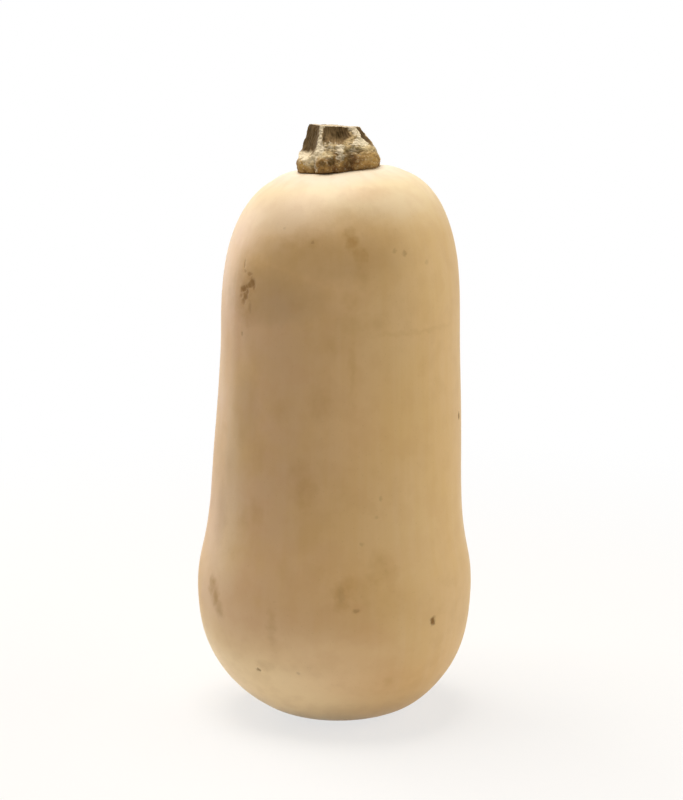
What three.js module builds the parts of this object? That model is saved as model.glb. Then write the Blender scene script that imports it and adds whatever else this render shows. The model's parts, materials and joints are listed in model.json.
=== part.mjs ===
// A butternut squash, standing on its blossom end.
// Millimetres, +Z up. The origin is on the ground under the middle of the seed bulb, and the front faces -Y.
// A bearing is an angle round the fruit in degrees: 0 at the front and 90 on the right, towards +X.

import * as THREE from 'three';

const { euclideanModulo, lerp, radToDeg, smoothstep } = THREE.MathUtils;

// Driving dimensions of the fruit, from the ground up: radius and height of each station of its outline.
// below and above say how far the outline keeps a station's own direction on its way down and up.
const SCAR = { rise: 2.2, radius: 5, rim: 3 };
const RING = { innerRadius: 12, outerRadius: 17, above: 12.5 };
const BULB = { radius: 55.4, height: 50.3, below: 38.5, above: 19.7 };
const WAIST = { radius: 50, height: 100, below: 34.7, above: 22, taper: 0.03 };
const NECK = { radius: 47.6, height: 162, below: 18, above: 34.5 };
const SEAT = { radius: 17, height: 218.6, below: 21, slope: 0.085 };

// How the fruit grew away from a turned shape.
const DEPTH_RATIO = 0.985;
const FOOT_LEAN = 2.1;
const NECK_LEAN = 2.6;
const SHOULDER_TILT = { right: 0.06, back: 0.03, from: 150, to: 215 };
const LOBE_COUNT = 5;
const LOBES = [
  { height: 12, spread: 16, depth: 0.012 },
  { height: 205, spread: 26, depth: 0.016 },
];

// Driving dimensions of the stem. Its height runs from the foot to the middle of the slanting cut.
const STEM = { height: 17.1, footRadius: 15.9, collarRadius: 16.1, collarHeight: 2.4, topRadius: 10.4 };
const STEM_FLARE = { above: 5, below: 5.1, spread: 2.9 };
const STEM_MIDDLE = { footX: 1.6, topX: 0.2, bow: 0.45 };
const STEM_GAP = 0.3;
const CUT_SLOPE = -0.055;

// Five ridges run down the stem. The flute to the right of each ends in a round hollow above the collar.
const RIDGES = [
  { bearing: -106, halfWidth: 4, fluteDepth: 0.31, fluteEnd: 4.6 },
  { bearing: -31, halfWidth: 3, fluteDepth: 0.38, fluteEnd: 10.4 },
  { bearing: 51, halfWidth: 6.5, fluteDepth: 0.28, fluteEnd: 9 },
  { bearing: 103, halfWidth: 4, fluteDepth: 0.34, fluteEnd: 7.5 },
  { bearing: 182, halfWidth: 5, fluteDepth: 0.34, fluteEnd: 8.5 },
];
const FLUTE_RUNOUT = 2;
const HOLLOW_ROUNDING = 4;
const FLUTE_FULLNESS = 0.8;

// Knobs of the collar: swell is the share of the radius that each adds in its middle.
const KNOBS = [
  { bearing: -64, halfWidth: 17, height: 3.2, swell: 0.06 },
  { bearing: -15, halfWidth: 15, height: 4.4, swell: 0.14 },
  { bearing: 14, halfWidth: 8, height: 6.4, swell: 0.06 },
  { bearing: 46, halfWidth: 25, height: 5.4, swell: 0.14 },
  { bearing: 100, halfWidth: 16, height: 4, swell: 0.05 },
  { bearing: 148, halfWidth: 20, height: 4.8, swell: 0.13 },
  { bearing: 204, halfWidth: 19, height: 3.8, swell: 0.1 },
];
const KNOB_HALF_HEIGHT = 3.6;

// Facets: segments go round, steps go up each curved stretch of an outline.
const FRUIT_SEGMENTS = 64;
const FRUIT_STEPS = 10;
const STEM_SEGMENTS = 60;
const STEM_STEPS = 14;

const bell = (distance, spread) => Math.exp(-((distance / spread) ** 2));
const turnBetween = (a, b) => euclideanModulo(a - b + 180, 360) - 180;

// Turns an outline of radius and height about +Z.
function lathe(outline, steps, segments) {
  const geometry = new THREE.LatheGeometry(outline.getPoints(steps), segments);
  geometry.rotateX(Math.PI / 2);
  return geometry;
}

// Gives every vertex the place that a rule finds for its angle, radius and height.
function reshape(geometry, rule) {
  const positions = geometry.getAttribute('position');
  for (let i = 0; i < positions.count; i += 1) {
    const x = positions.getX(i);
    const y = positions.getY(i);
    const place = rule(Math.atan2(x, -y), Math.hypot(x, y), positions.getZ(i));
    positions.setXYZ(i, place.x, place.y, place.z);
  }
  return geometry;
}

// Sideways place of the fruit's middle line: it leans right at the foot and again up the neck.
function middleLine(height) {
  const foot = FOOT_LEAN * Math.max(0, 1 - height / BULB.height) ** 2;
  return foot + NECK_LEAN * smoothstep(height, BULB.height, NECK.height);
}

// How far the tilted shoulder stands above level, at a place measured from the middle line.
function shoulderRise(x, y) {
  return SHOULDER_TILT.right * x + SHOULDER_TILT.back * y;
}

// The outline from the blossom scar over the standing ring, bulb, waist and neck to the seat of the stem.
function fruitOutline() {
  const path = new THREE.Path();
  path.moveTo(0, SCAR.rise);
  path.bezierCurveTo(SCAR.radius, SCAR.rise, RING.innerRadius - SCAR.rim, 0, RING.innerRadius, 0);
  path.lineTo(RING.outerRadius, 0);
  path.bezierCurveTo(
    RING.outerRadius + RING.above, 0,
    BULB.radius, BULB.height - BULB.below,
    BULB.radius, BULB.height,
  );
  path.bezierCurveTo(
    BULB.radius, BULB.height + BULB.above,
    WAIST.radius + WAIST.below * WAIST.taper, WAIST.height - WAIST.below,
    WAIST.radius, WAIST.height,
  );
  path.bezierCurveTo(
    WAIST.radius - WAIST.above * WAIST.taper, WAIST.height + WAIST.above,
    NECK.radius, NECK.height - NECK.below,
    NECK.radius, NECK.height,
  );
  path.bezierCurveTo(
    NECK.radius, NECK.height + NECK.above,
    SEAT.radius + SEAT.below, SEAT.height - SEAT.below * SEAT.slope,
    SEAT.radius, SEAT.height,
  );
  path.lineTo(SEAT.radius / 2, SEAT.height);
  path.lineTo(0, SEAT.height);
  return path;
}

// Share of the radius that the lobes take away between their crests, at one height.
function lobeDepth(height) {
  return LOBES.reduce((sum, lobe) => sum + lobe.depth * bell(height - lobe.height, lobe.spread), 0);
}

// One grown body: five faint lobes at the shoulder and the foot, a slight lean and a tilted shoulder.
function squashFruit() {
  const turned = lathe(fruitOutline(), FRUIT_STEPS, FRUIT_SEGMENTS);
  const geometry = reshape(turned, (angle, radius, height) => {
    const grown = radius * (1 - lobeDepth(height) * Math.cos(LOBE_COUNT * angle));
    const x = grown * Math.sin(angle);
    const y = -grown * Math.cos(angle) * DEPTH_RATIO;
    const tilt = shoulderRise(x, y) * smoothstep(height, SHOULDER_TILT.from, SHOULDER_TILT.to);
    return { x: x + middleLine(height), y, z: height + tilt };
  });
  const rind = new THREE.MeshStandardMaterial({ color: '#dcb887', roughness: 0.5, metalness: 0 });
  const mesh = new THREE.Mesh(geometry, rind);
  mesh.name = 'squash_fruit';
  return mesh;
}

// The stem as a plain flared stub, before its flutes and knobs.
function stemOutline() {
  const path = new THREE.Path();
  path.moveTo(0, 0);
  path.lineTo(STEM.footRadius / 2, 0);
  path.lineTo(STEM.footRadius, 0);
  path.lineTo((STEM.footRadius + STEM.collarRadius) / 2, STEM.collarHeight / 2);
  path.lineTo(STEM.collarRadius, STEM.collarHeight);
  path.bezierCurveTo(
    STEM.collarRadius, STEM.collarHeight + STEM_FLARE.above,
    STEM.topRadius + STEM_FLARE.spread, STEM.height - STEM_FLARE.below,
    STEM.topRadius, STEM.height,
  );
  path.lineTo(STEM.topRadius / 2, STEM.height);
  path.lineTo(0, STEM.height);
  return path;
}

// Share of the radius that a flute takes away: nothing on a ridge, most in the middle between two ridges.
function fluteCut(bearing, height) {
  return RIDGES.reduce((cut, ridge, i) => {
    const next = RIDGES[(i + 1) % RIDGES.length];
    const start = ridge.bearing + ridge.halfWidth;
    const width = euclideanModulo(next.bearing - next.halfWidth - start, 360);
    const across = euclideanModulo(bearing - start, 360) / width;
    if (across >= 1) return cut;
    const bow = Math.sin(Math.PI * across);
    const end = ridge.fluteEnd + HOLLOW_ROUNDING * (1 - bow);
    return cut + ridge.fluteDepth * bow ** FLUTE_FULLNESS * smoothstep(height, end, end + FLUTE_RUNOUT);
  }, 0);
}

// Share of the radius that the collar's knobs add.
function knobSwell(bearing, height) {
  return KNOBS.reduce((sum, knob) => {
    const around = bell(turnBetween(bearing, knob.bearing), knob.halfWidth);
    return sum + knob.swell * around * bell(height - knob.height, KNOB_HALF_HEIGHT);
  }, 0);
}

// Sideways place of the stem's middle line, which leans left to its cut and bows a little to the right.
function stemMiddle(share) {
  return lerp(STEM_MIDDLE.footX, STEM_MIDDLE.topX, share) + STEM_MIDDLE.bow * Math.sin(Math.PI * share);
}

// The corky stem: ridged and fluted, spreading into a knobbly collar, cut across at a slight slant.
function stem() {
  const turned = lathe(stemOutline(), STEM_STEPS, STEM_SEGMENTS);
  const geometry = reshape(turned, (angle, radius, height) => {
    const bearing = radToDeg(angle);
    const grown = radius * (1 - fluteCut(bearing, height) + knobSwell(bearing, height));
    const share = height / STEM.height;
    const x = stemMiddle(share) + grown * Math.sin(angle);
    const y = -grown * Math.cos(angle);
    const footRise = shoulderRise(x - middleLine(SEAT.height), y);
    const cutRise = CUT_SLOPE * (x - STEM_MIDDLE.topX);
    return { x, y, z: SEAT.height + STEM_GAP + height + lerp(footRise, cutRise, share) };
  });
  const cork = new THREE.MeshStandardMaterial({ color: '#8a6c42', roughness: 0.9, metalness: 0 });
  const mesh = new THREE.Mesh(geometry, cork);
  mesh.name = 'stem';
  return mesh;
}

const squash = new THREE.Group();
squash.add(squashFruit(), stem());

export default squash;
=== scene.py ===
# A butternut squash: one grown fruit standing on its blossom end, with its corky stem.
# Blender works in metres, +Z up. The origin is on the ground under the seed bulb, and the front
# faces -Y. Sizes of the squash are in millimetres, and MM turns them to metres. A bearing is an
# angle round the fruit in degrees: 0 at the front and 90 on the right, towards +X.

import json
import math

import bmesh
import bpy
import numpy as np
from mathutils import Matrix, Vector, noise

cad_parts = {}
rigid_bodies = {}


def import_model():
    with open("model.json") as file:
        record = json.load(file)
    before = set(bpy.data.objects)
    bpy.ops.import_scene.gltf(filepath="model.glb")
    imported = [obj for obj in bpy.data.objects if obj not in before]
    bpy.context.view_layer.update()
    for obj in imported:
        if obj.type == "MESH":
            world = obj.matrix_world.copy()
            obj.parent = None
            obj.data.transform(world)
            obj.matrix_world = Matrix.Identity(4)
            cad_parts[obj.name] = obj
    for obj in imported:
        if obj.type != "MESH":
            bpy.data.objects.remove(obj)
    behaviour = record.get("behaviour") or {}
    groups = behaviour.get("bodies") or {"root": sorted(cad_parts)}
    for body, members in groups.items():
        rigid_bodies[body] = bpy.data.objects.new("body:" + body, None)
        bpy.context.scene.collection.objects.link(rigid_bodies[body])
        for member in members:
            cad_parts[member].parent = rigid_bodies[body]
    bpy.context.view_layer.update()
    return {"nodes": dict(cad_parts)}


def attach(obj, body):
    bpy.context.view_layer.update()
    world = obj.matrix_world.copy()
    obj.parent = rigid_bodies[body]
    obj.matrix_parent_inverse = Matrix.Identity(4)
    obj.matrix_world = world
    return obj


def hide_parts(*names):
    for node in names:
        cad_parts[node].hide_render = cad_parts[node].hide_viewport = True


for leftover in list(bpy.data.objects):
    bpy.data.objects.remove(leftover)

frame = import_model()
MM = 0.001

# ---------------------------------------------------------------- the fruit
# One grown body: firm pale flesh under a thin rind with a natural bloom of wax. It widens from
# a long neck to the seed bulb and stands on the ring round its blossom scar. It ripened lying
# down, was cut from the vine with its stem, and crates and grit left small scars in its rind.

FRUIT_ROUNDING = 2
BULB = {"radius": 55.4, "height": 50}
NECK = {"radius": 47.6, "height": 162}
# The rind's pattern runs round a cylinder of this radius. Where the rind turns in, above the
# neck and under the bulb, the pattern is counted on along it.
PATTERN_RADIUS = 50
END_BLEND = 10
# Uneven growth: how far apart its lumps are, and how high they stand.
BROAD_SWELLS = {"size": 48, "rise": 0.34}
LONG_VEINS = {"size": 7, "rise": 0.06, "stretch": 0.1}
SMALL_DIMPLES = {"size": 5, "rise": 0.03}
EVEN_NEAR_STEM = {"from": 236, "to": 248, "share": 0.9}
EVEN_NEAR_SCAR = {"from": 14, "to": 3}
SPECK_SINK = {"depth": 0.16, "spread": 1.1}
# Where the rind meets the stem.
SEAT_SWELL = {"rise": 0.45, "more_aside": 0.4, "from": 236, "to": 246}
SEAT_LIP = {"bearing": 34, "spread": 30, "rise": 0.5, "from": 239, "to": 246}
# The blossom scar underneath, and the fine pleats round it.
FOOT_ZONE = 6
SCAR_RADIUS = 5
SCAR_RIM = {"radius": 4.2, "width": 1.1, "rise": 0.5}
SCAR_POINT = {"width": 1.3, "rise": 0.7}
SCAR_EDGE = {"reach": 1.4, "size": 2.5, "wander": 0.12}
PLEATS = {"count": 9, "radius": 8, "width": 2.6, "depth": 0.12}


def grown_mesh(node, rounding, sharp=math.pi):
    """A CAD node's mesh with its triangles joined in pairs, then rounded by subdivision.
    Edges that turn by more than sharp stay sharp."""
    source = frame["nodes"][node].data
    net = bmesh.new()
    corners = [net.verts.new(vertex.co) for vertex in source.vertices]
    for face in source.polygons:
        net.faces.new([corners[i] for i in face.vertices])
    bmesh.ops.remove_doubles(net, verts=net.verts, dist=0.001 * MM)
    # Two triangles make a square and share their longest side, but round a pole each is single.
    diagonals = []
    for edge in net.edges:
        longest = [max(side.calc_length() for side in face.edges) for face in edge.link_faces]
        at_pole = max(len(corner.link_edges) for corner in edge.verts) > 12
        if not at_pole and edge.calc_length() > 0.9999 * max(longest):
            diagonals.append(edge)
    bmesh.ops.dissolve_edges(net, edges=diagonals, use_verts=False)
    bmesh.ops.recalc_face_normals(net, faces=net.faces)
    crease = net.edges.layers.float.new("crease_edge")
    for edge in net.edges:
        if edge.calc_face_angle(0) > sharp:
            edge[crease] = 1
    rough = bpy.data.meshes.new(node + "_net")
    net.to_mesh(rough)
    net.free()
    holder = bpy.data.objects.new(node + "_net", rough)
    bpy.context.scene.collection.objects.link(holder)
    modifier = holder.modifiers.new("rounding", "SUBSURF")
    modifier.levels = modifier.render_levels = rounding
    rounded = holder.evaluated_get(bpy.context.evaluated_depsgraph_get())
    fine = bpy.data.meshes.new_from_object(rounded)
    bpy.data.objects.remove(holder)
    return fine


def read(collection, name):
    """A vector of each element of a mesh, such as a vertex's place, as rows of three numbers."""
    values = np.empty(len(collection) * 3)
    collection.foreach_get(name, values)
    return values.reshape(-1, 3)


def smooth(value, low, high):
    """0 below low, 1 above high and an even S between; high may be the lower one."""
    share = np.clip((value - low) / (high - low), 0, 1)
    return share * share * (3 - 2 * share)


def bell(distance, spread):
    """1 at no distance, falling off evenly on both sides to about a third at spread."""
    return np.exp(-((distance / spread) ** 2))


def turned_from(bearing, mark_bearing):
    """How far round places are from a mark, in radians. Only the mark's bearing is in degrees."""
    return np.angle(np.exp(1j * (bearing - np.radians(mark_bearing))))


def lumps(places, size, octaves=1, seed=0.0):
    """Smooth uneven relief between about -1 and 1 whose lumps are size apart."""
    shift = Vector((seed, seed, seed))
    return np.array([noise.fractal(Vector(p) / size + shift, 0.8, 2, octaves) for p in places])


def round_pattern(bearing, radius, along):
    """Places on a cylinder, where a pattern runs round and along the piece without a join."""
    return np.stack([radius * np.cos(bearing), radius * np.sin(bearing), along], axis=-1)


def keep(mesh, name, kind, values):
    """Stores a value for each vertex of a mesh, for a material to read by its name."""
    layer = mesh.attributes.new(name, kind, "POINT")
    field = "vector" if kind == "FLOAT_VECTOR" else "value"
    layer.data.foreach_set(field, np.ascontiguousarray(values, dtype=np.float32).ravel())


def smooth_object(name, mesh, material):
    """A new object of a mesh, shaded smooth and with one material."""
    mesh.name = name
    mesh.materials.append(material)
    mesh.shade_smooth()
    piece = bpy.data.objects.new(name, mesh)
    bpy.context.scene.collection.objects.link(piece)
    return piece


# Marks in the rind: bearing, height above the ground, width and height in mm, and strength.
# Field stains are where damp leaves and soil touched the rind as it grew; the two wide faint bands
# under the front of the shoulder, at 193 and 196 mm, are painted shade.
STAINS_AND_SHOULDER_SHADE = [
    (-51, 176, 18, 32, 0.36), (-48, 176, 11, 15, 0.55), (-49, 165, 9, 12, 0.35),
    (-60, 176, 5, 16, 0.35), (-62, 171, 9, 14, 0.28), (8.2, 197.5, 6, 7, 0.5),
    (9.5, 194.5, 6, 8, 0.55), (11.8, 191, 6, 7, 0.45), (14.5, 189, 4, 5, 0.45),
    (14, 200, 28, 40, 0.14), (12, 62, 34, 22, 0.12), (-24, 193, 24, 9, 0.08), (-8, 196, 26, 8, 0.12),
    (13, 184, 6, 16, 0.17), (8, 173, 7, 8, 0.16), (-11, 194, 6, 5, 0.3), (-24, 193, 8, 5, 0.25),
    (8, 164, 12, 8, 0.15), (19, 164, 6, 5, 0.12), (40, 160, 36, 1.6, 0.12), (8.5, 146, 3, 22, 0.12),
    (-7, 134, 7, 13, 0.22), (-1, 155, 4, 10, 0.12), (-26, 130, 7, 8, 0.15), (-13, 100, 9, 13, 0.3),
    (-16, 107, 8, 9, 0.2), (-38, 114, 7, 14, 0.15), (-38, 91, 6, 9, 0.16), (-44, 87, 5, 9, 0.16),
    (20, 71, 9, 10, 0.27), (17, 67, 9, 7, 0.27), (13, 65, 10, 7, 0.22), (23, 68, 9, 7, 0.18),
    (3, 61.5, 6, 10, 0.36), (3.4, 58.5, 7, 8, 0.3), (6, 66, 6, 7, 0.3), (10, 62, 18, 13, 0.2),
    (-8, 70, 8, 10, 0.12), (-20, 68, 7, 9, 0.12), (-61, 57.5, 5, 8, 0.65), (-58, 54, 5, 8, 0.62),
    (-55, 50, 5, 7, 0.5), (-26, 47, 3.4, 15, 0.24), (-31, 30, 6, 5, 0.25), (25, 24, 5, 7, 0.15),
    (-8, 30, 20, 9, 0.08), (140, 92, 26, 44, 0.3), (172, 175, 9, 12, 0.35), (-150, 60, 12, 8, 0.3),
    (-118, 150, 5, 26, 0.25), (105, 61, 8, 14, 0.3), (-168, 118, 10, 5, 0.3), (118, 186, 7, 6, 0.35),
    (-95, 98, 5, 16, 0.25),
]
# Corky specks are healed nicks: dry and brown, and a little sunken.
CORK_SPECKS = [
    (-50.6, 175.2, 4, 2.4, 0.8), (-48, 176.2, 3, 1.6, 0.6), (-45.8, 177, 3.2, 2.2, 0.7),
    (-43.8, 178.3, 3, 3.4, 0.8), (-42.6, 176.8, 1.8, 3.4, 0.5), (-47.6, 174.2, 2, 3, 0.6),
    (-48.8, 172.3, 2.4, 3.2, 0.65), (-50.2, 170.5, 2.4, 2.4, 0.5), (-52.4, 172.4, 1.8, 1.8, 0.4),
    (-46.5, 181, 2.6, 1.8, 0.35), (-52, 184.4, 1.3, 4.4, 0.35), (-50.6, 182.2, 1.8, 1.2, 0.3),
    (-45, 168.5, 1.6, 5, 0.22), (-51, 158, 1.4, 2.4, 0.45), (30, 191, 1.8, 2.4, 0.22),
    (35, 190, 2, 2.6, 0.3), (48, 186, 2.2, 2.2, 0.12), (-28, 199, 1.6, 1.4, 0.15),
    (-11, 194, 1.4, 1.4, 0.3), (21, 97, 1.4, 1.6, 0.2), (19, 90, 1.6, 1.4, 0.18),
    (12, 80, 1.6, 1.4, 0.2), (3, 61, 2.4, 6, 0.14), (9, 55, 2.2, 1.8, 0.35),
    (44.5, 46.8, 2.4, 3.6, 0.95), (-35, 28, 2.4, 1.6, 0.7), (-16, 29, 1.6, 1.6, 0.2),
    (76, 123, 2.4, 2.4, 0.8), (127, 74, 2.8, 2.2, 0.7), (-139, 138, 2, 4, 0.65),
    (-137, 133, 1.6, 1.8, 0.55), (163, 52, 1.8, 1.8, 0.5), (96, 152, 1.6, 1.8, 0.45),
    (-108, 40, 2.2, 1.8, 0.6), (-176, 196, 1.8, 2.4, 0.5), (150, 120, 1.4, 2.8, 0.4),
    (-88, 180, 1.6, 1.6, 0.45), (-160, 84, 1.6, 2.2, 0.45),
]
# Blush is where the skin ripened deeper; the two long patches down the left side, at bearings -74
# and -68, are painted shade.
BLUSH_AND_SHADE = [
    (13, 46, 16, 13, 0.17), (9, 56, 5, 4, 0.15), (-34, 47, 8, 7, 0.15), (12, 26, 44, 26, 0.2),
    (-74, 100, 26, 90, 0.24), (-68, 172, 26, 76, 0.4), (22, 212, 26, 10, 0.2), (170, 70, 44, 60, 0.3),
    (-130, 100, 40, 80, 0.25), (110, 150, 30, 60, 0.15),
]
# Duller, darker skin: some patches are rubbed places where the bloom is thin, and some are painted
# shade under the left shoulder and down the left side.
DULL_AND_SHADED_PATCHES = [
    (-32, 122, 56, 120, 0.2), (-35, 173, 47, 26, 0.42), (-48, 129, 22, 36, 0.36),
    (-4, 188, 54, 21, 0.3), (-46, 96, 20, 50, 0.15), (-12, 191, 44, 10, 0.15), (9.5, 194, 9, 14, 0.2),
    (-56, 126, 13, 76, 0.25), (-62, 88, 11, 26, 0.28), (160, 160, 50, 60, 0.2),
    (-120, 70, 40, 50, 0.2),
]
# Paler skin, where it ripened least; the wide patch high on the left shoulder is painted light.
PALE_AND_LIT_PATCHES = [
    (-34, 204, 46, 26, 0.4), (-6, 38, 50, 14, 0.2), (-12, 96, 12, 18, 0.12), (3, 132, 30, 40, 0.25),
    (-4, 176, 30, 24, 0.25), (-160, 150, 40, 60, 0.3), (128, 40, 30, 18, 0.3),
]
# The bloom of wax is thicker in places, where it whitens the colour under it; some patches on the
# shoulders and down the sides are painted highlight.
BLOOM_AND_HIGHLIGHT_PATCHES = [
    (-60, 80, 24, 60, 0.4), (-56, 73, 18, 22, 0.25), (-58, 108, 14, 30, 0.3), (25, 160, 22, 34, 0.08),
    (32, 84, 30, 44, 0.12), (46, 44, 42, 36, 0.1), (40, 208, 32, 16, 0.35), (-34, 204, 44, 24, 0.5),
    (-38, 193, 20, 12, 0.2), (152, 128, 40, 50, 0.3), (-168, 44, 50, 30, 0.3),
    (-100, 190, 30, 40, 0.3), (95, 90, 24, 60, 0.25),
]

fruit_mesh = grown_mesh("squash_fruit", FRUIT_ROUNDING)
points = read(fruit_mesh.vertices, "co") / MM
outward = read(fruit_mesh.vertex_normals, "vector")
bearing = np.arctan2(points[:, 0], -points[:, 1])
radius = np.hypot(points[:, 0], points[:, 1])
height = points[:, 2]
at_neck, at_bulb, blend = NECK["height"], BULB["height"], END_BLEND
along = height + (NECK["radius"] - radius) * smooth(height, at_neck - blend, at_neck + blend)
along -= (BULB["radius"] - radius) * smooth(height, at_bulb + blend, at_bulb - blend)
grown_place = round_pattern(bearing, PATTERN_RADIUS, along)


def on_rind(mark_bearing, mark_height):
    """The pattern place of a mark at a bearing and a height on the rind."""
    turn = turned_from(bearing, mark_bearing)
    nearest = np.argmin((turn * PATTERN_RADIUS) ** 2 + (height - mark_height) ** 2)
    mark_along = mark_height + along[nearest] - height[nearest]
    return round_pattern(math.radians(mark_bearing), PATTERN_RADIUS, mark_along)


# It grew unevenly: broad hollows and swells, faint veins along it, and a fine dimpling. The
# growth is even near the stem and the scar.
relief = BROAD_SWELLS["rise"] * lumps(grown_place, BROAD_SWELLS["size"], 2, 1.7)
along_fruit = grown_place * (1, 1, LONG_VEINS["stretch"])
relief += LONG_VEINS["rise"] * lumps(along_fruit, LONG_VEINS["size"], 2, 3.1)
relief += SMALL_DIMPLES["rise"] * lumps(grown_place, SMALL_DIMPLES["size"], 2, 5.3)
for mark_bearing, mark_height, wide, tall, strength in CORK_SPECKS:
    offset = (grown_place - on_rind(mark_bearing, mark_height)) / (wide / 2, wide / 2, tall / 2)
    sunken = bell(np.linalg.norm(offset, axis=1), SPECK_SINK["spread"])
    relief -= SPECK_SINK["depth"] * strength * sunken
near_stem = smooth(along, EVEN_NEAR_STEM["from"], EVEN_NEAR_STEM["to"])
relief *= smooth(radius, EVEN_NEAR_SCAR["to"], EVEN_NEAR_SCAR["from"])
relief *= 1 - EVEN_NEAR_STEM["share"] * near_stem
# The rind swells a little up to the foot of the stem, most on its left and right.
swell = SEAT_SWELL["rise"] + SEAT_SWELL["more_aside"] * np.sin(bearing) ** 2
relief += swell * smooth(along, SEAT_SWELL["from"], SEAT_SWELL["to"])
# At the front right it grew up round the foot in a low lip.
lip = bell(turned_from(bearing, SEAT_LIP["bearing"]), math.radians(SEAT_LIP["spread"]))
relief += SEAT_LIP["rise"] * lip * smooth(along, SEAT_LIP["from"], SEAT_LIP["to"])
# The blossom scar is a corky button with a rolled rim and a dry point in its middle.
at_foot = smooth(height, 2 * FOOT_ZONE, FOOT_ZONE)
button = SCAR_RIM["rise"] * bell(radius - SCAR_RIM["radius"], SCAR_RIM["width"])
button += SCAR_POINT["rise"] * bell(radius, SCAR_POINT["width"])
pleats = np.cos(PLEATS["count"] * bearing) * bell(radius - PLEATS["radius"], PLEATS["width"])
button -= PLEATS["depth"] * pleats
relief += button * at_foot
points += outward * relief[:, None]
# It settles on its ring, and nothing of it is under the ground.
points[:, 2] -= points[:, 2].min() * smooth(height, FOOT_ZONE, 0)
points[:, 2] = np.maximum(points[:, 2], 0)
fruit_mesh.vertices.foreach_set("co", (points * MM).ravel())
fruit_mesh.update()
keep(fruit_mesh, "grown_place", "FLOAT_VECTOR", grown_place * MM)
# How near each place is to the middle of the blossom scar, with an uneven edge.
uneven = SCAR_EDGE["wander"] * lumps(points, SCAR_EDGE["size"], 2, 4.2)
scar = np.clip(SCAR_EDGE["reach"] - radius / SCAR_RADIUS + uneven, 0, 1)
keep(fruit_mesh, "scar", "FLOAT", scar * at_foot)


def srgb(code):
    """Turns a #rrggbb colour to the linear values that a shader works with."""
    parts = [int(code[i:i + 2], 16) / 255 for i in (1, 3, 5)]
    return (*[p / 12.92 if p <= 0.04045 else ((p + 0.055) / 1.055) ** 2.4 for p in parts], 1)


def new_material(name):
    """A material with an empty tree, and that tree."""
    material = bpy.data.materials.new(name)
    material.use_nodes = True
    material.node_tree.nodes.clear()
    return material, material.node_tree


def add(tree, kind, inputs, output=0, **settings):
    """Adds a node with its settings, and gives back one of its outputs.
    Each input takes another node's output or a value of its own."""
    node = tree.nodes.new("ShaderNode" + kind)
    for name, value in settings.items():
        setattr(node, name, value)
    for name, value in inputs.items():
        if isinstance(value, bpy.types.NodeSocket):
            tree.links.new(value, node.inputs[name])
        else:
            node.inputs[name].default_value = value
    return node.outputs[output] if node.outputs else node


# A step between two values that starts and ends softly.
SOFT = {"interpolation_type": "SMOOTHSTEP"}
# A Mix node's colour sockets share their names with its other sockets, so they go by number.
SHARE, BELOW, ABOVE = 0, 6, 7
COLOURS = {"output": 2, "data_type": "RGBA"}
# With a distance of 1 mm, a Bump node takes its heights in mm.
BUMP_IN_MM = {"Strength": 1, "Distance": MM}

# Butternut rind is a thin cured skin with a bloom of wax: it looks satin, never glossy, with
# soft tan mottling, faint veins along the fruit, and dry matt scars.
# Plant wax has an IOR of about 1.45, and the bloom makes it about half rough.
RIND_IOR = 1.45
RIND_ROUGHNESS = {"bloom": 0.5, "rubbed": 0.44, "scarred": 0.85}
RIND_LEFT = "#e4be92"
RIND_RIGHT = "#e1ba78"
RIND_TAN = "#e2bb80"
# The cream near the stem is partly the rind's own colour and partly painted light.
RIND_CREAM_LIT = "#f5dfb4"
RIND_SEAT_LIT = "#f4e6cb"
# Painted light: the paler foot, for light bounced up from the floor.
RIND_FOOT_LIGHT = "#f9e0b5"
# The blush, pale, dull and bloom colours also carry painted shade and painted highlight in some patches.
RIND_BLUSH = "#cc905b"
RIND_PALE = "#f4cd9d"
RIND_DULL_AND_SHADE = "#a5855c"
RIND_BLOOM = "#f0dbbc"
STAIN_OLIVE = "#ad7c26"
SPECK_BROWN = "#865f2c"
BUTTON_TAN = "#a37c4e"
BUTTON_DARK = "#6a4b2a"
MOTTLE_SIZE = 34
FRECKLES = {"size": 9, "share": 0.09}
CLOUD_SIZE = 3.4
VEIN_WIDTH = 4.5
VEIN_STRETCH = 0.06
# Where the colour changes. The heights are counted as the pattern runs, and their edges wander;
# right and left are places on either side of the middle.
UNEVEN_EDGE = {"size": 14, "wander": 12}
CREAM_NECK = {"from": 200, "to": 238}
CREAM_SEAT = {"from": 236, "to": 252}
# Painted light from the floor lies on the foot, more on its left.
FOOT_BOUNCE_LIGHT = {"from": 62, "to": 24, "right": 42, "left": -12}
# Size of the noise that frays the edges of marks, and how far it pushes them.
RAGGED_EDGE = {"size": 4, "detail": 3, "push": 5}
NIBBLED_EDGE = {"size": 1.5, "detail": 2, "push": 2}
PATCH_FADING = 0.7
STAIN_FADING = 0.75
SPECK_FADING = 0.6
# Real pores are about 0.2 mm across, and are drawn at twice that so that they show.
PORES = {"spacing": 2.3, "radius": 0.4, "share": 0.1}
PEEL_SIZE = 1.1
PEEL_DEPTH = 0.035
VEIN_DEPTH = 0.04
SPECK_DEPTH = 0.2


def strongest_mark(tree, places, marks, fading):
    """The strongest mark of a list at each place; fading is the share of each that fades out."""
    strongest = 0.0
    for mark_bearing, mark_height, wide, tall, strength in marks:
        size = np.array((2 / wide, 2 / wide, 2 / tall))
        shift = -on_rind(mark_bearing, mark_height) * size
        sockets = {0: places, 1: size / MM, 2: shift}
        offset = add(tree, "VectorMath", sockets, operation="MULTIPLY_ADD")
        distance = add(tree, "VectorMath", {0: offset}, "Value", operation="LENGTH")
        fade = {"From Min": 1 + fading, "From Max": 1 - fading, "To Max": strength}
        mark = add(tree, "MapRange", {"Value": distance} | fade, interpolation_type="SMOOTHSTEP")
        strongest = add(tree, "Math", {0: strongest, 1: mark}, operation="MAXIMUM")
    return strongest


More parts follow.
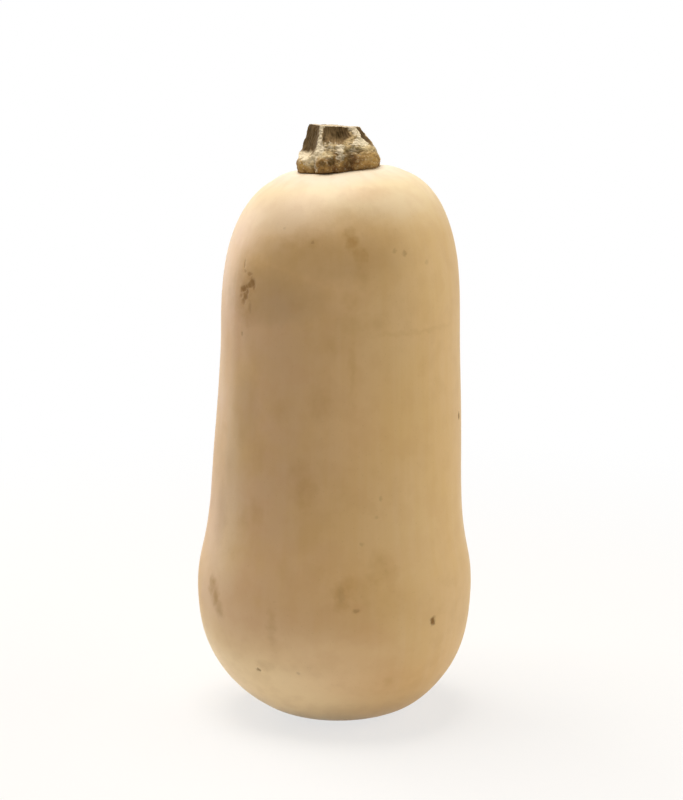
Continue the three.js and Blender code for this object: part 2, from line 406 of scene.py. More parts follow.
rind, tree = new_material("cured_waxy_rind")
place = add(tree, "Attribute", {}, "Vector", attribute_name="grown_place")
axes = add(tree, "SeparateXYZ", {0: place}).node.outputs

# Broad mottling in tan lies over the skin, which is yellower on the right.
across = {"Value": axes["Y"], "From Min": -PATTERN_RADIUS * MM, "From Max": PATTERN_RADIUS * MM}
rightness = add(tree, "MapRange", across, **SOFT)
broad = add(tree, "TexNoise", {"Vector": place, "Scale": 1 / (MOTTLE_SIZE * MM), "Detail": 4})
mottle = add(tree, "MapRange", {"Value": broad, "From Min": 0.35, "From Max": 0.65}, **SOFT)
# Each layer of colour is how much of the skin it covers, and the colour.
layers = [(rightness, srgb(RIND_RIGHT)), (mottle, srgb(RIND_TAN))]

# Faint veins run the length of the fruit and meet at its ends.
stretched = add(tree, "VectorMath", {0: place, 1: (1, 1, VEIN_STRETCH)}, operation="MULTIPLY")
vein_noise = {"Vector": stretched, "Scale": 1 / (VEIN_WIDTH * MM), "Detail": 3, "Roughness": 0.6}
vein = add(tree, "TexNoise", vein_noise)
veined = add(tree, "MapRange", {"Value": vein, "From Min": 0.35, "From Max": 0.7, "To Max": 0.06}, **SOFT)
layers.append((veined, srgb(RIND_BLOOM)))

# The rind turns cream towards the stem, palest at its foot: partly its own paler colour and
# partly painted light on the shoulder that faces up. The edges are uneven.
uneven = add(tree, "TexNoise", {"Vector": place, "Scale": 1 / (UNEVEN_EDGE["size"] * MM), "Detail": 3})
wander = {0: uneven, 1: UNEVEN_EDGE["wander"] * MM, 2: axes["Z"]}
level = add(tree, "Math", wander, operation="MULTIPLY_ADD")
for zone, colour in ((CREAM_NECK, RIND_CREAM_LIT), (CREAM_SEAT, RIND_SEAT_LIT)):
    limits = {"From Min": zone["from"] * MM, "From Max": zone["to"] * MM}
    layers.append((add(tree, "MapRange", {"Value": level} | limits, **SOFT), srgb(colour)))

# Painted light: the foot is painted paler on its left, for light bounced up from the floor,
# with a soft uneven edge.
low = {"Value": level, "From Min": FOOT_BOUNCE_LIGHT["from"] * MM, "From Max": FOOT_BOUNCE_LIGHT["to"] * MM}
left = {"Value": axes["Y"], "From Min": FOOT_BOUNCE_LIGHT["right"] * MM, "From Max": FOOT_BOUNCE_LIGHT["left"] * MM}
low, left = [add(tree, "MapRange", limits, **SOFT) for limits in (low, left)]
layers.append((add(tree, "Math", {0: low, 1: left}, operation="MULTIPLY"), srgb(RIND_FOOT_LIGHT)))

# The marks have ragged edges: noise pushes their pattern about, the broad ones further.
edges = []
for edge in (RAGGED_EDGE, NIBBLED_EDGE):
    noise_size = {"Scale": 1 / (edge["size"] * MM), "Detail": edge["detail"]}
    push = add(tree, "TexNoise", {"Vector": place} | noise_size, "Color")
    push = add(tree, "VectorMath", {0: push, 1: (0.5, 0.5, 0.5)}, operation="SUBTRACT")
    pushed = {0: push, 1: (edge["push"] * MM,) * 3, 2: place}
    edges.append(add(tree, "VectorMath", pushed, operation="MULTIPLY_ADD"))
ragged, nibbled = edges
# Among these patches are painted highlight on the shoulders and sides, and painted shade on the left.
for marks, colour in (
    (PALE_AND_LIT_PATCHES, RIND_PALE), (BLOOM_AND_HIGHLIGHT_PATCHES, RIND_BLOOM), (DULL_AND_SHADED_PATCHES, RIND_DULL_AND_SHADE), (BLUSH_AND_SHADE, RIND_BLUSH),
):
    layers.append((strongest_mark(tree, ragged, marks, PATCH_FADING), srgb(colour)))
speckled = add(tree, "TexNoise", {"Vector": place, "Scale": 1 / (FRECKLES["size"] * MM), "Detail": 4})
freckled = {"Value": speckled, "From Min": 0.42, "From Max": 0.66, "To Max": FRECKLES["share"]}
freckled = add(tree, "MapRange", freckled, **SOFT)
freckle = add(tree, "Mix", {SHARE: mottle, BELOW: srgb(RIND_BLUSH), ABOVE: srgb(STAIN_OLIVE)}, **COLOURS)
layers.append((freckled, freckle))

# Stains and pores are cloudy, and the corky specks are not.
cloudy = add(tree, "TexNoise", {"Vector": place, "Scale": 1 / (CLOUD_SIZE * MM), "Detail": 2})
clouds = add(tree, "MapRange", {"Value": cloudy, "From Min": 0.3, "From Max": 0.7, "To Min": 0.6}, **SOFT)
stain_and_shade = strongest_mark(tree, ragged, STAINS_AND_SHOULDER_SHADE, STAIN_FADING)
pore = add(tree, "TexVoronoi", {"Vector": place, "Scale": 1 / (PORES["spacing"] * MM)}, "Distance")
pore_edge = PORES["radius"] / PORES["spacing"]
pore = {"Value": pore, "From Min": pore_edge, "From Max": 0.3 * pore_edge, "To Max": PORES["share"]}
pore = add(tree, "MapRange", pore, **SOFT)
for mark, colour in ((stain_and_shade, STAIN_OLIVE), (pore, SPECK_BROWN)):
    layers.append((add(tree, "Math", {0: mark, 1: clouds}, operation="MULTIPLY"), srgb(colour)))
speck = strongest_mark(tree, nibbled, CORK_SPECKS, SPECK_FADING)
layers.append((speck, srgb(SPECK_BROWN)))

# The blossom scar is dry cork, darkest in its middle.
scar = add(tree, "Attribute", {}, "Fac", attribute_name="scar")
button = add(tree, "MapRange", {"Value": scar, "From Min": 0.15, "From Max": 0.45}, **SOFT)
in_middle = add(tree, "MapRange", {"Value": scar, "From Min": 0.6, "From Max": 1}, **SOFT)
cork = {SHARE: in_middle, BELOW: srgb(BUTTON_TAN), ABOVE: srgb(BUTTON_DARK)}
layers.append((button, add(tree, "Mix", cork, **COLOURS)))

skin = srgb(RIND_LEFT)
for share, colour in layers:
    skin = add(tree, "Mix", {SHARE: share, BELOW: skin, ABOVE: colour}, **COLOURS)

# Rubbed places shine a little more than the bloom, and scars not at all.
scarred = add(tree, "Math", {0: speck, 1: button}, operation="MAXIMUM")
shine = {"Value": broad, "From Min": 0.3, "From Max": 0.7}
shine |= {"To Min": RIND_ROUGHNESS["rubbed"], "To Max": RIND_ROUGHNESS["bloom"]}
rough = add(tree, "MapRange", shine)
rough = add(tree, "Mix", {SHARE: scarred, 2: rough, 3: RIND_ROUGHNESS["scarred"]})

# Fine dimpling like a peel, the veins, and the sunken specks, all in mm.
peel = add(tree, "TexNoise", {"Vector": place, "Scale": 1 / (PEEL_SIZE * MM), "Detail": 2})
relief_mm = 0.0
for pattern, depth in ((peel, PEEL_DEPTH), (vein, VEIN_DEPTH), (scarred, -SPECK_DEPTH)):
    relief_mm = add(tree, "Math", {0: pattern, 1: depth, 2: relief_mm}, operation="MULTIPLY_ADD")
dimpled = add(tree, "Bump", {"Height": relief_mm} | BUMP_IN_MM)
waxy = {"Base Color": skin, "Roughness": rough, "IOR": RIND_IOR, "Normal": dimpled}
surface = add(tree, "BsdfPrincipled", waxy)
add(tree, "OutputMaterial", {"Surface": surface})

fruit = smooth_object("fruit", fruit_mesh, rind)
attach(fruit, "root")
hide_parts("squash_fruit")

# ---------------------------------------------------------------- the stem
# The dried stalk of the fruit, cut from the vine with a knife: a corky, five-sided peduncle.
# Its ridges stand pale round dark fluted hollows, and it spreads into a knobbly collar that
# grew tight on to the shoulder of the fruit.

STEM_ROUNDING = 3
# Edges that turn by more than this many degrees stay sharp, such as the edge of the cut.
SHARP_CUT = 50
STEM_HEIGHT = 17.1
# The planes of the foot and of the cut: height at the middle, and rise for each mm to the right
# and back.
STEM_FOOT = {"height": 218.9, "middle": 2.6, "rise_right": 0.06, "rise_back": 0.03}
STEM_CUT = {"height": 236, "middle": 0.2, "rise_right": -0.055}
# Sideways place of its middle line, which bows a little on the way up.
STEM_MIDDLE = {"foot": 1.6, "cut": 0.2, "bow": 0.45}
STEM_PATTERN_RADIUS = 15
KNOB_RADIUS = 17.5
BITE_DEPTH = 0.3
FOOT_GROOVE = 0.35
# Relief of the cork: how far apart its forms are, and how high they stand.
GRANULES = {"size": 1.8, "rise": 0.36, "uneven_size": 0.9}
CRUMBS = {"size": 1.7, "rise": 0.3}
LUMPS = {"size": 3.4, "rise": 0.3, "sunk": 0.1}
FIBRES = {"size": 0.8, "rise": 0.16, "stretch": 0.12}
HOLLOW_DEPTH = 0.25
# On the cut: the ends of fibres in rays, small lumps, a raised edge, and the shrunken pith.
CUT_RAYS = {"size": 0.7, "rise": 0.1}
CUT_LUMPS = {"size": 1.3, "rise": 0.2}
CUT_EDGE = {"from": 6, "to": 9, "rise": 0.15}
PITH = {"radius": 2.2, "depth": 0.8}
# A flute is what lies in by more than this share of the radius, above the collar.
FLUTE_STARTS = {"in": 0.015, "deep": 0.055, "from": 5.8, "to": 7.4}
FLUTE_BANDS = 40

# Straw-coloured ridges: bearing at the cut and at the collar, half width at each, height of their end.
STRAW_RIDGES = [
    (-31.5, -28, 0.85, 1.9, 6.8), (53, 42, 2.3, 4.8, 9.2), (103, 100, 0.5, 1.2, 8),
    (182, 182, 1.2, 3, 7.5),
]
# On the narrow ridge at its left the stalk kept its fibrous skin, and shrank a little.
SKINNED_RIDGE = {"bearing": -106, "spread": 17, "shrunk": 0.5}
# The skin fills the front flute from ridge to ridge: bearings of its sides, how far its right
# side draws in towards its lower edge, and the height of that edge.
FRONT_FLUTE = {"left": -25, "right": 34, "right_below": 10, "ends_at": 11.3}
# Pale grains stand in the seams between knobs: bearing, half width, bottom, top, and how many.
SEAMS = [
    (-32, 1, 0.5, 7, 0.6), (-48, 2.2, 2.6, 6, 0.5), (4, 1.6, 4.5, 11, 0.8), (-14, 1.6, 4, 7, 0.25),
    (-14, 5, 8, 12, 0.35), (24, 1.6, 7, 10.5, 0.45), (96, 1.2, 2, 8, 0.5), (126, 1.4, 1, 7.5, 0.5),
    (176, 1.6, 1, 8, 0.55), (-138, 1.4, 1, 7, 0.5), (-92, 1, 1, 6, 0.4), (140, 5, 8, 10.5, 0.45),
    (-152, 5, 8, 10, 0.45),
]
# Smooth cream ledges where a flute ends on the collar, partly pale cork and partly painted light
# where they face up: bearing, half angle, bottom, top, how pale.
LIT_LEDGES = [
    (-84, 16, 5, 7.5, 1), (-58, 12, 4.6, 6.7, 1), (-38, 8, 4.6, 7.2, 0.9), (-31, 7, 6.6, 9.8, 0.85),
    (84, 12, 5.5, 9.5, 0.4), (142, 16, 5.5, 8, 0.4), (-150, 18, 5, 7.4, 0.45),
]
# Knobs swell out of the collar: bearing, height, half width, half height, and rise.
SWELLS = [
    (-62, 3.4, 4, 2.6, 0.6), (-19, 4, 3.8, 3.6, 0.75), (5, 7.6, 1.5, 3.4, 0.6),
    (44, 4.8, 6.5, 4, 0.7), (88, 5.2, 5, 3, -0.2), (148, 4.8, 5.5, 4, 0.7), (-156, 3.8, 5, 3.4, 0.6),
    (-112, 4, 3.5, 3, 0.4),
]
# Some knobs kept more of a golden skin: bearing, half angle, and how golden.
HONEY_KNOBS = [
    (-54, 13, 0.95), (56, 15, 0.5), (-24, 10, 0.3), (102, 16, 0.5), (150, 18, 0.5), (-120, 20, 0.4),
]
# The tops of the knobs weathered pale, and are painted lighter where they face up: bearing,
# height, half width, half height, and how pale.
PALE_LIT_TOPS = [
    (-43, 4.4, 2.4, 1.9, 1), (-21, 7, 2.8, 1.2, 0.9), (-11, 6.8, 0.9, 0.9, 0.8),
    (48, 9.8, 4, 0.9, 0.6), (150, 7.4, 3, 1.2, 0.7), (-156, 6.6, 2.6, 1.2, 0.7),
    (-112, 5.6, 2, 1, 0.6), (100, 7.2, 2, 1, 0.5),
]
# Dark hollows between them are painted shade, and sink a little: bearing, height, half width,
# half height, and how dark.
SHADED_HOLLOWS = [
    (8, 5.6, 1.2, 1.2, 0.6), (0, 6.6, 0.6, 1.3, 0.45), (-8, 4.8, 1, 1.5, 0.8),
    (-19, 4, 1.1, 0.8, 0.7), (15, 7.3, 1.8, 1.6, 0.5), (31, 8.5, 2.8, 0.9, 0.8),
    (24, 9.8, 1, 0.9, 0.5), (-67, 3.3, 1, 2.6, 0.6), (-74, 12.5, 8, 5, 0.4),
    (-47, 9.2, 1.8, 2.2, 0.5), (10, 12.8, 1.6, 2.4, 0.4), (14, 4, 2.4, 2.6, 0.35),
    (70, 4, 1.4, 2.4, 0.35), (130, 6, 2, 1.2, 0.7), (165, 4.4, 1.6, 1.8, 0.7),
    (-128, 5, 1.6, 1.4, 0.7), (-165, 6.4, 2, 1, 0.7), (112, 3.6, 1.2, 1.6, 0.5),
    (-84, 3.6, 1, 1.6, 0.6),
]
# Creases between the knobs: bearing at the foot and at the top, height of the top, width, depth.
CREASES = [
    (-36, -35, 6.5, 0.9, 0.45), (-6, -2, 6, 1.1, 0.35), (17, 14, 10, 1.5, 0.48),
    (82, 78, 7, 1.2, 0.4), (122, 118, 8, 1.4, 0.5), (178, 176, 7, 1.3, 0.5), (-96, -92, 7, 1.3, 0.4),
    (-140, -144, 8, 1.3, 0.5),
]

stem_mesh = grown_mesh("stem", STEM_ROUNDING, sharp=math.radians(SHARP_CUT))
points = read(stem_mesh.vertices, "co") / MM
outward = read(stem_mesh.vertex_normals, "vector")
foot = STEM_FOOT["height"] + STEM_FOOT["rise_right"] * (points[:, 0] - STEM_FOOT["middle"])
foot += STEM_FOOT["rise_back"] * points[:, 1]
cut = STEM_CUT["height"] + STEM_CUT["rise_right"] * (points[:, 0] - STEM_CUT["middle"])
share = np.clip((points[:, 2] - foot) / (cut - foot), 0, 1)
height = STEM_HEIGHT * share
middle = STEM_MIDDLE["foot"] + (STEM_MIDDLE["cut"] - STEM_MIDDLE["foot"]) * share
middle += STEM_MIDDLE["bow"] * np.sin(math.pi * share)
bearing = np.arctan2(points[:, 0] - middle, -points[:, 1])
radius = np.hypot(points[:, 0] - middle, points[:, 1])
on_cut = smooth(outward[:, 2], 0.8, 0.95) * smooth(share, 0.97, 0.99)
on_side = 1 - on_cut
# The pattern wraps round the side and runs in over the ledges, and lies flat on the cut.
run_in = np.maximum(KNOB_RADIUS - radius, 0) * smooth(height, 2, 6)
along = height + run_in * on_side
cork_place = round_pattern(bearing, STEM_PATTERN_RADIUS * on_side + radius * on_cut, along)

# How far each place lies in from the widest part of its height: nothing on a ridge, most in a flute.
bands = np.round(share * FLUTE_BANDS).astype(int)
widest = []
for band in range(FLUTE_BANDS + 1):
    widest.append(np.percentile(radius[(bands == band) & (on_side > 0.5)], 93))
fluted = 1 - radius / np.interp(share * FLUTE_BANDS, range(FLUTE_BANDS + 1), widest)
skinned = bell(
    turned_from(bearing, SKINNED_RIDGE["bearing"]), math.radians(SKINNED_RIDGE["spread"])
)
flute = np.maximum(smooth(fluted, FLUTE_STARTS["in"], FLUTE_STARTS["deep"]), skinned)
flute *= smooth(height, FLUTE_STARTS["from"], FLUTE_STARTS["to"]) * on_side
# The skin in the front flute has its own frayed outline.
wander = 2.2 * lumps(cork_place, 2.2, 3, 9.4)
degrees = np.degrees(bearing) + wander
left, right, ends_at = FRONT_FLUTE["left"], FRONT_FLUTE["right"], FRONT_FLUTE["ends_at"]
in_front = smooth(degrees, left - 2, left + 2)
in_front *= smooth(height + 0.3 * wander, ends_at - 1.1, ends_at + 1.1)
flute = np.maximum(flute, in_front * on_side)
narrower = (right - FRONT_FLUTE["right_below"]) * smooth(height, ends_at + 3, ends_at - 0.5)
past_right = smooth(degrees + narrower, right - 3, right + 3)
flute *= 1 - past_right * (np.degrees(bearing) < 60)

straw = np.zeros(len(points))
for from_bearing, to_bearing, at_cut, at_collar, ends_at in STRAW_RIDGES:
    down = smooth(height, 14, ends_at + 1)
    half = at_cut + (at_collar - at_cut) * down
    ridge_bearing = from_bearing + (to_bearing - from_bearing) * down
    wander = 0.06 * lumps(cork_place, 2.5, 3, from_bearing)
    gap = np.abs(turned_from(bearing - wander, ridge_bearing)) * radius
    ridge = smooth(gap, half + 0.6, half - 0.4) * smooth(height, ends_at, ends_at + 1.8)
    straw = np.maximum(straw, ridge)
for seam_bearing, half, bottom, top, share_of_grains in SEAMS:
    wander = 0.1 * lumps(cork_place, 2, 3, seam_bearing)
    gap = np.abs(turned_from(bearing - wander, seam_bearing)) * radius
    seam = smooth(gap, half + 0.7, half - 0.7) * smooth(height, bottom - 0.5, bottom + 1.5)
    straw = np.maximum(straw, share_of_grains * seam * smooth(height, top + 0.8, top - 1))
straw *= on_side
lit_ledge = np.zeros(len(points))
for ledge_bearing, half_angle, bottom, top, pale in LIT_LEDGES:
    turned = np.degrees(np.abs(turned_from(bearing, ledge_bearing)))
    wandered = height + 0.5 * lumps(cork_place, 2.6, 3, ledge_bearing)
    shelf = smooth(wandered, bottom - 0.8, bottom + 0.8) * smooth(wandered, top + 0.8, top - 0.8)
    shelf *= smooth(turned, half_angle + 8, half_angle - 8) * on_side
    lit_ledge = np.maximum(lit_ledge, pale * shelf)
flute *= (1 - 0.9 * straw) * (1 - 0.8 * lit_ledge)
# Above the knobs the cork weathered paler.
weathered = 0.75 * smooth(height, 6, 9) * (1 - flute) * on_side
honey = np.zeros(len(points))
for honey_bearing, half_angle, how_gold in HONEY_KNOBS:
    golden = bell(turned_from(bearing, honey_bearing), math.radians(half_angle))
    honey = np.maximum(honey, how_gold * golden)
honey *= smooth(height, 9, 6) * smooth(height, 0.5, 2.5) * on_side

# Cork grows in granules on the collar and breaks into crumbs along the ridges; the flutes show
# the fibres that run down them.
open_cork = on_side * (1 - flute)
cells = [noise.voronoi(Vector(p) / GRANULES["size"])[0][0] for p in cork_place]
granules = 0.45 - np.array(cells) + 0.35 * lumps(cork_place, GRANULES["uneven_size"], 2, 2.3)
crumbs = lumps(cork_place, CRUMBS["size"], 3, 4.7)
down_fibres = cork_place * (1, 1, FIBRES["stretch"])
grain_height = GRANULES["rise"] * granules + CRUMBS["rise"] * crumbs * smooth(height, 4, 9)
grain_height *= open_cork
relief = grain_height + FIBRES["rise"] * flute * lumps(down_fibres, FIBRES["size"], 2, 6.1)
relief += LUMPS["rise"] * lumps(cork_place, LUMPS["size"], 2, 8.2) - LUMPS["sunk"]


def strongest_spot(spots):
    """The strongest of a list of soft spots on the stem, at each of its vertices."""
    strongest = np.zeros(len(points))
    for spot_bearing, spot_height, wide, tall, strength in spots:
        across = turned_from(bearing - 0.05 * crumbs, spot_bearing) * radius
        gap = np.hypot(across / wide, (height - spot_height - 0.4 * granules) / tall)
        strongest = np.maximum(strongest, strength * smooth(gap, 1.5, 0.5))
    return strongest * on_side


lit_pale_top = strongest_spot(PALE_LIT_TOPS) * (1 - flute)
shaded_hollow = strongest_spot(SHADED_HOLLOWS)
relief -= HOLLOW_DEPTH * shaded_hollow * (1 - flute)
relief -= SKINNED_RIDGE["shrunk"] * skinned * smooth(height, 6.5, 9) * smooth(height, 16.5, 13)
for knob_bearing, knob_height, wide, tall, rise in SWELLS:
    gap = turned_from(bearing, knob_bearing) * radius
    relief += rise * bell(np.hypot(gap / wide, (height - knob_height) / tall), 1) * (1 - flute)
crease_depth = np.zeros(len(points))
for at_foot, at_top, high, wide, deep in CREASES:
    line = at_foot + (at_top - at_foot) * np.clip(height / high, 0, 1)
    wander = 0.12 * lumps(cork_place, 3, 2, at_foot)
    gap = turned_from(bearing - wander, line) * radius
    crease_depth += deep * bell(gap, wide) * smooth(height, high + 1, high - 2)
relief -= crease_depth + FOOT_GROOVE * smooth(height, 1.2, 0)
relief *= on_side
# The knife left fibres standing on the cut, round a shrunken pith.
round_cut = np.stack([6 * np.cos(bearing), 6 * np.sin(bearing), 0.15 * radius], axis=1)
cut_relief = CUT_RAYS["rise"] * lumps(round_cut, CUT_RAYS["size"], 2, 3.3) * smooth(radius, 1, 3)
cut_relief += CUT_LUMPS["rise"] * lumps(points, CUT_LUMPS["size"], 3, 1.1)
cut_relief -= PITH["depth"] * bell(radius, PITH["radius"])
cut_relief += CUT_EDGE["rise"] * (smooth(radius, CUT_EDGE["from"], CUT_EDGE["to"]) - 1)
relief += on_cut * cut_relief
points += outward * relief[:, None]
# Its foot bites into the rind, with a narrow groove round it, which is painted dark as shade.
points[:, 2] -= BITE_DEPTH * smooth(height, 2.5, 0)
stem_mesh.vertices.foreach_set("co", (points * MM).ravel())
stem_mesh.update()
keep(stem_mesh, "cork_place", "FLOAT_VECTOR", cork_place * MM)
# How much of each form there is at each place; the material reads them all.
cork_forms = {
    "flute": flute, "straw": straw - 0.4 * flute, "lit_ledge": lit_ledge, "on_cut": on_cut,
    "grain": np.clip(0.5 + 1.1 * grain_height / GRANULES["rise"], 0, 1),
    "weathered": weathered, "honey": honey, "lit_pale_top": lit_pale_top, "shaded_hollow": shaded_hollow,
    "crease_shade": smooth(crease_depth, 0.1, 0.6), "at_foot": smooth(height, 1.1, 0.2) * on_side,
}
for name, amounts in cork_forms.items():
    keep(stem_mesh, name, "FLOAT", amounts)

# Dry cork is dull and dusty: golden brown on the knobs, straw on the crumbled ridges, and dark
# brown in the flutes, which keep the fibrous skin of the stalk and are painted darker as shade.
# The cut shows pale dry fibre.
# Cork has an IOR of about 1.45, but its broken surface scatters nearly all of it.
CORK_IOR = 1.45
CORK_ROUGHNESS = 0.92
KNOB_HONEY = "#bd9852"
KNOB_GOLD = "#b49058"
KNOB_BROWN = "#866338"
WEATHERED_GREY = "#cfb988"
TOP_STRAW_LIT = "#eed9a8"
# Painted shade in the hollows between the knobs.
HOLLOW_SHADE = "#553f12"
GRAIN_SHADE = "#4c351a"
GRAIN_HIGHLIGHT = "#cdb07c"
FLUTE_BROWN = "#7a613c"
FLUTE_SHADE = "#554120"
RIDGE_STRAW = "#f7e8c9"
LEDGE_CREAM_LIT = "#fbecca"
CUT_FIBRE = "#e2d5ba"
PITH_BROWN = "#b39a70"
# Painted shade where the foot meets the rind.
FOOT_SHADE = "#5e4626"
PATCH_SIZE = 3.4
DUST_SIZE = 0.45
CRUMB_SIZE = 0.9
FIBRE_STRETCH = 0.1
DUST_DEPTH = 0.1
CREASE_SHADE_SHARE = 0.55
# The straw of a ridge shows where it and the crumbs together are strong, and crumbs thin a ledge.
RIDGE_CRUMBS = {"strength": 2.6, "from": 1.4, "to": 2.1, "share": 0.9}
LEDGE_CRUMBS = {"strength": 1.3, "least": 0.3}

dry_cork, tree = new_material("dry_corky_peduncle")
place = add(tree, "Attribute", {}, "Vector", attribute_name="cork_place")
form = {name: add(tree, "Attribute", {}, "Fac", attribute_name=name) for name in cork_forms}

# The knobs are patchy gold and brown, with painted shade in the pits and painted highlight on
# the tips of their granules.
patches = add(tree, "TexNoise", {"Vector": place, "Scale": 1 / (PATCH_SIZE * MM), "Detail": 3})
patches = add(tree, "MapRange", {"Value": patches, "From Min": 0.38, "From Max": 0.62}, **SOFT)
dust_noise = {"Vector": place, "Scale": 1 / (DUST_SIZE * MM), "Detail": 3, "Roughness": 0.65}
dust = add(tree, "TexNoise", dust_noise)
grains = add(tree, "Math", {0: dust, 1: 0.5, 2: form["grain"]}, operation="MULTIPLY_ADD")
pit_shade = add(tree, "MapRange", {"Value": grains, "From Min": 0.6, "From Max": 0.2, "To Max": 0.45}, **SOFT)
tip_highlight = add(tree, "MapRange", {"Value": grains, "From Min": 0.85, "From Max": 1.25, "To Max": 0.7}, **SOFT)

# Fibres run down the flutes.
stretched = add(tree, "VectorMath", {0: place, 1: (1, 1, FIBRE_STRETCH)}, operation="MULTIPLY")
fibre = add(tree, "TexNoise", {"Vector": stretched, "Scale": 1 / (FIBRES["size"] * MM), "Detail": 3})
fibre = add(tree, "MapRange", {"Value": fibre, "From Min": 0.35, "From Max": 0.65}, **SOFT)
# The flutes' dark brown is partly painted shade.
shaded_flute = add(tree, "Mix", {SHARE: fibre, BELOW: srgb(FLUTE_SHADE), ABOVE: srgb(FLUTE_BROWN)}, **COLOURS)

# The straw of the ridges and seams and the cream of the ledges break up into crumbs.
crumb_noise = {"Vector": place, "Scale": 1 / (CRUMB_SIZE * MM), "Detail": 3, "Roughness": 0.7}
crumb = add(tree, "TexNoise", crumb_noise)
ridge = {0: crumb, 1: RIDGE_CRUMBS["strength"], 2: form["straw"]}
ridge = {"Value": add(tree, "Math", ridge, operation="MULTIPLY_ADD"), "To Max": RIDGE_CRUMBS["share"]}
ridge |= {"From Min": RIDGE_CRUMBS["from"], "From Max": RIDGE_CRUMBS["to"]}
ridge = add(tree, "MapRange", ridge, **SOFT)
shelf = {0: crumb, 1: LEDGE_CRUMBS["strength"], 2: LEDGE_CRUMBS["least"]}
shelf = add(tree, "Math", shelf, operation="MULTIPLY_ADD")
shelf = add(tree, "Math", {0: shelf, 1: form["lit_ledge"]}, operation="MULTIPLY")
# Painted shade darkens the creases between the knobs.
crease_shade = add(tree, "Math", {0: form["crease_shade"], 1: CREASE_SHADE_SHARE}, operation="MULTIPLY")
porous = add(tree, "MapRange", {"Value": crumb, "From Min": 0.3, "From Max": 0.6})
fresh = add(tree, "Mix", {SHARE: porous, BELOW: srgb(PITH_BROWN), ABOVE: srgb(CUT_FIBRE)}, **COLOURS)

cork = srgb(KNOB_BROWN)
for share, colour in (
    (patches, srgb(KNOB_GOLD)), (form["weathered"], srgb(WEATHERED_GREY)),
    (form["honey"], srgb(KNOB_HONEY)), (form["lit_pale_top"], srgb(TOP_STRAW_LIT)),
    (pit_shade, srgb(GRAIN_SHADE)), (tip_highlight, srgb(GRAIN_HIGHLIGHT)),
    (form["flute"], shaded_flute), (ridge, srgb(RIDGE_STRAW)), (shelf, srgb(LEDGE_CREAM_LIT)),
    (form["shaded_hollow"], srgb(HOLLOW_SHADE)), (crease_shade, srgb(GRAIN_SHADE)),
    (form["on_cut"], fresh), (form["at_foot"], srgb(FOOT_SHADE)),
):
    cork = add(tree, "Mix", {SHARE: share, BELOW: cork, ABOVE: colour}, **COLOURS)
dust_mm = add(tree, "Math", {0: dust, 1: DUST_DEPTH}, operation="MULTIPLY")
dusty = add(tree, "Bump", {"Height": dust_mm} | BUMP_IN_MM)
corky = {"Base Color": cork, "Roughness": CORK_ROUGHNESS, "IOR": CORK_IOR, "Normal": dusty}
surface = add(tree, "BsdfPrincipled", corky)
add(tree, "OutputMaterial", {"Surface": surface})

peduncle = smooth_object("peduncle", stem_mesh, dry_cork)
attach(peduncle, "root")
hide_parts("stem")

# ---------------------------------------------------------------- the floor and the backdrop
# A sheet of matt white paper lies under the squash and takes its shadow, and fades to plain
# white further off. The room round it is white too, but lights the squash hardly at all.
PAPER_WHITE = "#fbf8f2"
# The sheet's size, and how far off it starts and ends turning plain white, in metres.
FLOOR_SIZE = 8
PAPER_NEAR = 0.12
PAPER_FAR = 0.6
# Close to the squash it is already this share of plain white, which keeps the shadow pale.
PAPER_GLOW = 0.7
# How bright the white room is where it lights the squash, against 1 where it is seen.
ROOM_LEVEL = 0.02


def backdrop_rays(tree):
    """1 where a surface is seen directly, in a gloss or through glass, and 0 where it lights."""
    rays = add(tree, "LightPath", {}).node.outputs
    seen = add(tree, "Math", {0: rays["Is Camera Ray"], 1: rays["Is Glossy Ray"]}, operation="MAXIMUM")
    return add(tree, "Math", {0: seen, 1: rays["Is Transmission Ray"]}, operation="MAXIMUM")


paper, tree = new_material("matt_white_paper")
spot = add(tree, "TexCoord", {}, "Object")
away = add(tree, "VectorMath", {0: spot}, "Value", operation="LENGTH")
fading = {"Value": away, "From Min": PAPER_NEAR, "From Max": PAPER_FAR, "To Min": PAPER_GLOW}
white_share = add(tree, "MapRange", fading, **SOFT)
white_share = add(tree, "Math", {0: white_share, 1: backdrop_rays(tree)}, operation="MULTIPLY")
matt = add(tree, "BsdfDiffuse", {"Color": srgb(PAPER_WHITE)})
white = add(tree, "Emission", {"Color": (1, 1, 1, 1), "Strength": 1})
surface = add(tree, "MixShader", {0: white_share, 1: matt, 2: white})
add(tree, "OutputMaterial", {"Surface": surface})

bpy.ops.mesh.primitive_plane_add(size=FLOOR_SIZE)
floor = bpy.context.object
floor.name = "paper_floor"
floor.data.materials.append(paper)

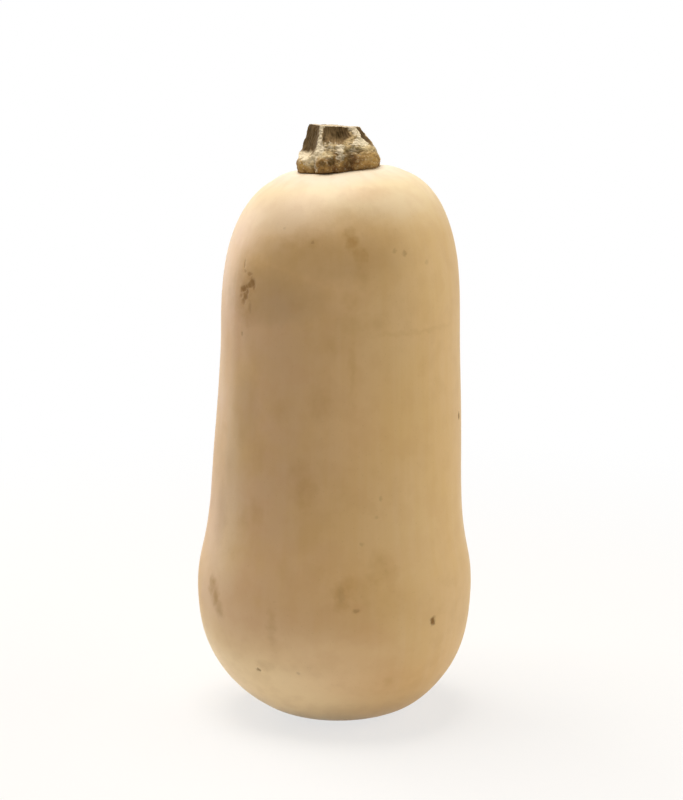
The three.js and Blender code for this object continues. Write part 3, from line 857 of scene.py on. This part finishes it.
room = bpy.data.worlds.new("white_room")
room.use_nodes = True
bpy.context.scene.world = room
tree = room.node_tree
tree.nodes.clear()
level = add(tree, "MapRange", {"Value": backdrop_rays(tree), "To Min": ROOM_LEVEL, "To Max": 1})
sky = add(tree, "Background", {"Color": (1, 1, 1, 1), "Strength": level})
add(tree, "OutputWorld", {"Surface": sky})

# ---------------------------------------------------------------- the lamps
# Soft studio panels, each aimed at the middle of the squash: a large one overhead, a smaller one
# behind it on the left, and a wide one on the right.
AIM = Vector((0, 0, 0.12))
# Name, bearing, elevation, distance and size in metres, how bright the panel alone would make a
# white surface that faced it, and colour.
PANELS = [
    ("overhead_panel", -110, 80, 1.3, 0.95, 1.16, "#fff8f2"),
    ("left_panel", -132, 11, 1.1, 0.6, 0.31, "#f8fffb"),
    ("right_panel", 86, 15, 1.1, 1.25, 0.56, "#fffff1"),
]
for name, panel_bearing, elevation, distance, size, level, colour in PANELS:
    panel = bpy.data.lights.new(name, "AREA")
    panel.size = size
    panel.energy = level * math.pi ** 2 * distance ** 2
    panel.color = srgb(colour)[:3]
    holder = bpy.data.objects.new(name, panel)
    bpy.context.scene.collection.objects.link(holder)
    turn, lift = math.radians(panel_bearing), math.radians(elevation)
    aside = Vector((math.sin(turn) * math.cos(lift), -math.cos(turn) * math.cos(lift), math.sin(lift)))
    holder.location = AIM + aside * distance
    holder.rotation_euler = (-aside).to_track_quat("-Z", "Y").to_euler()

# ---------------------------------------------------------------- the camera
# It stands 0.8 m in front of the squash, a little above its top, and looks down at it. Places
# are in metres, the pitch is in degrees below level, and the lens is in mm.
CAMERA_PLACE = (0.0029, -0.8, 0.270)
CAMERA_PITCH = 10.13
SENSOR = 36
LENS = 91.35

camera = bpy.data.cameras.new("camera")
camera.sensor_width = SENSOR
camera.lens = LENS
viewer = bpy.data.objects.new("camera", camera)
bpy.context.scene.collection.objects.link(viewer)
viewer.location = CAMERA_PLACE
viewer.rotation_euler = (math.radians(90 - CAMERA_PITCH), 0, 0)
bpy.context.scene.camera = viewer
bpy.context.scene.view_settings.view_transform = "Standard"
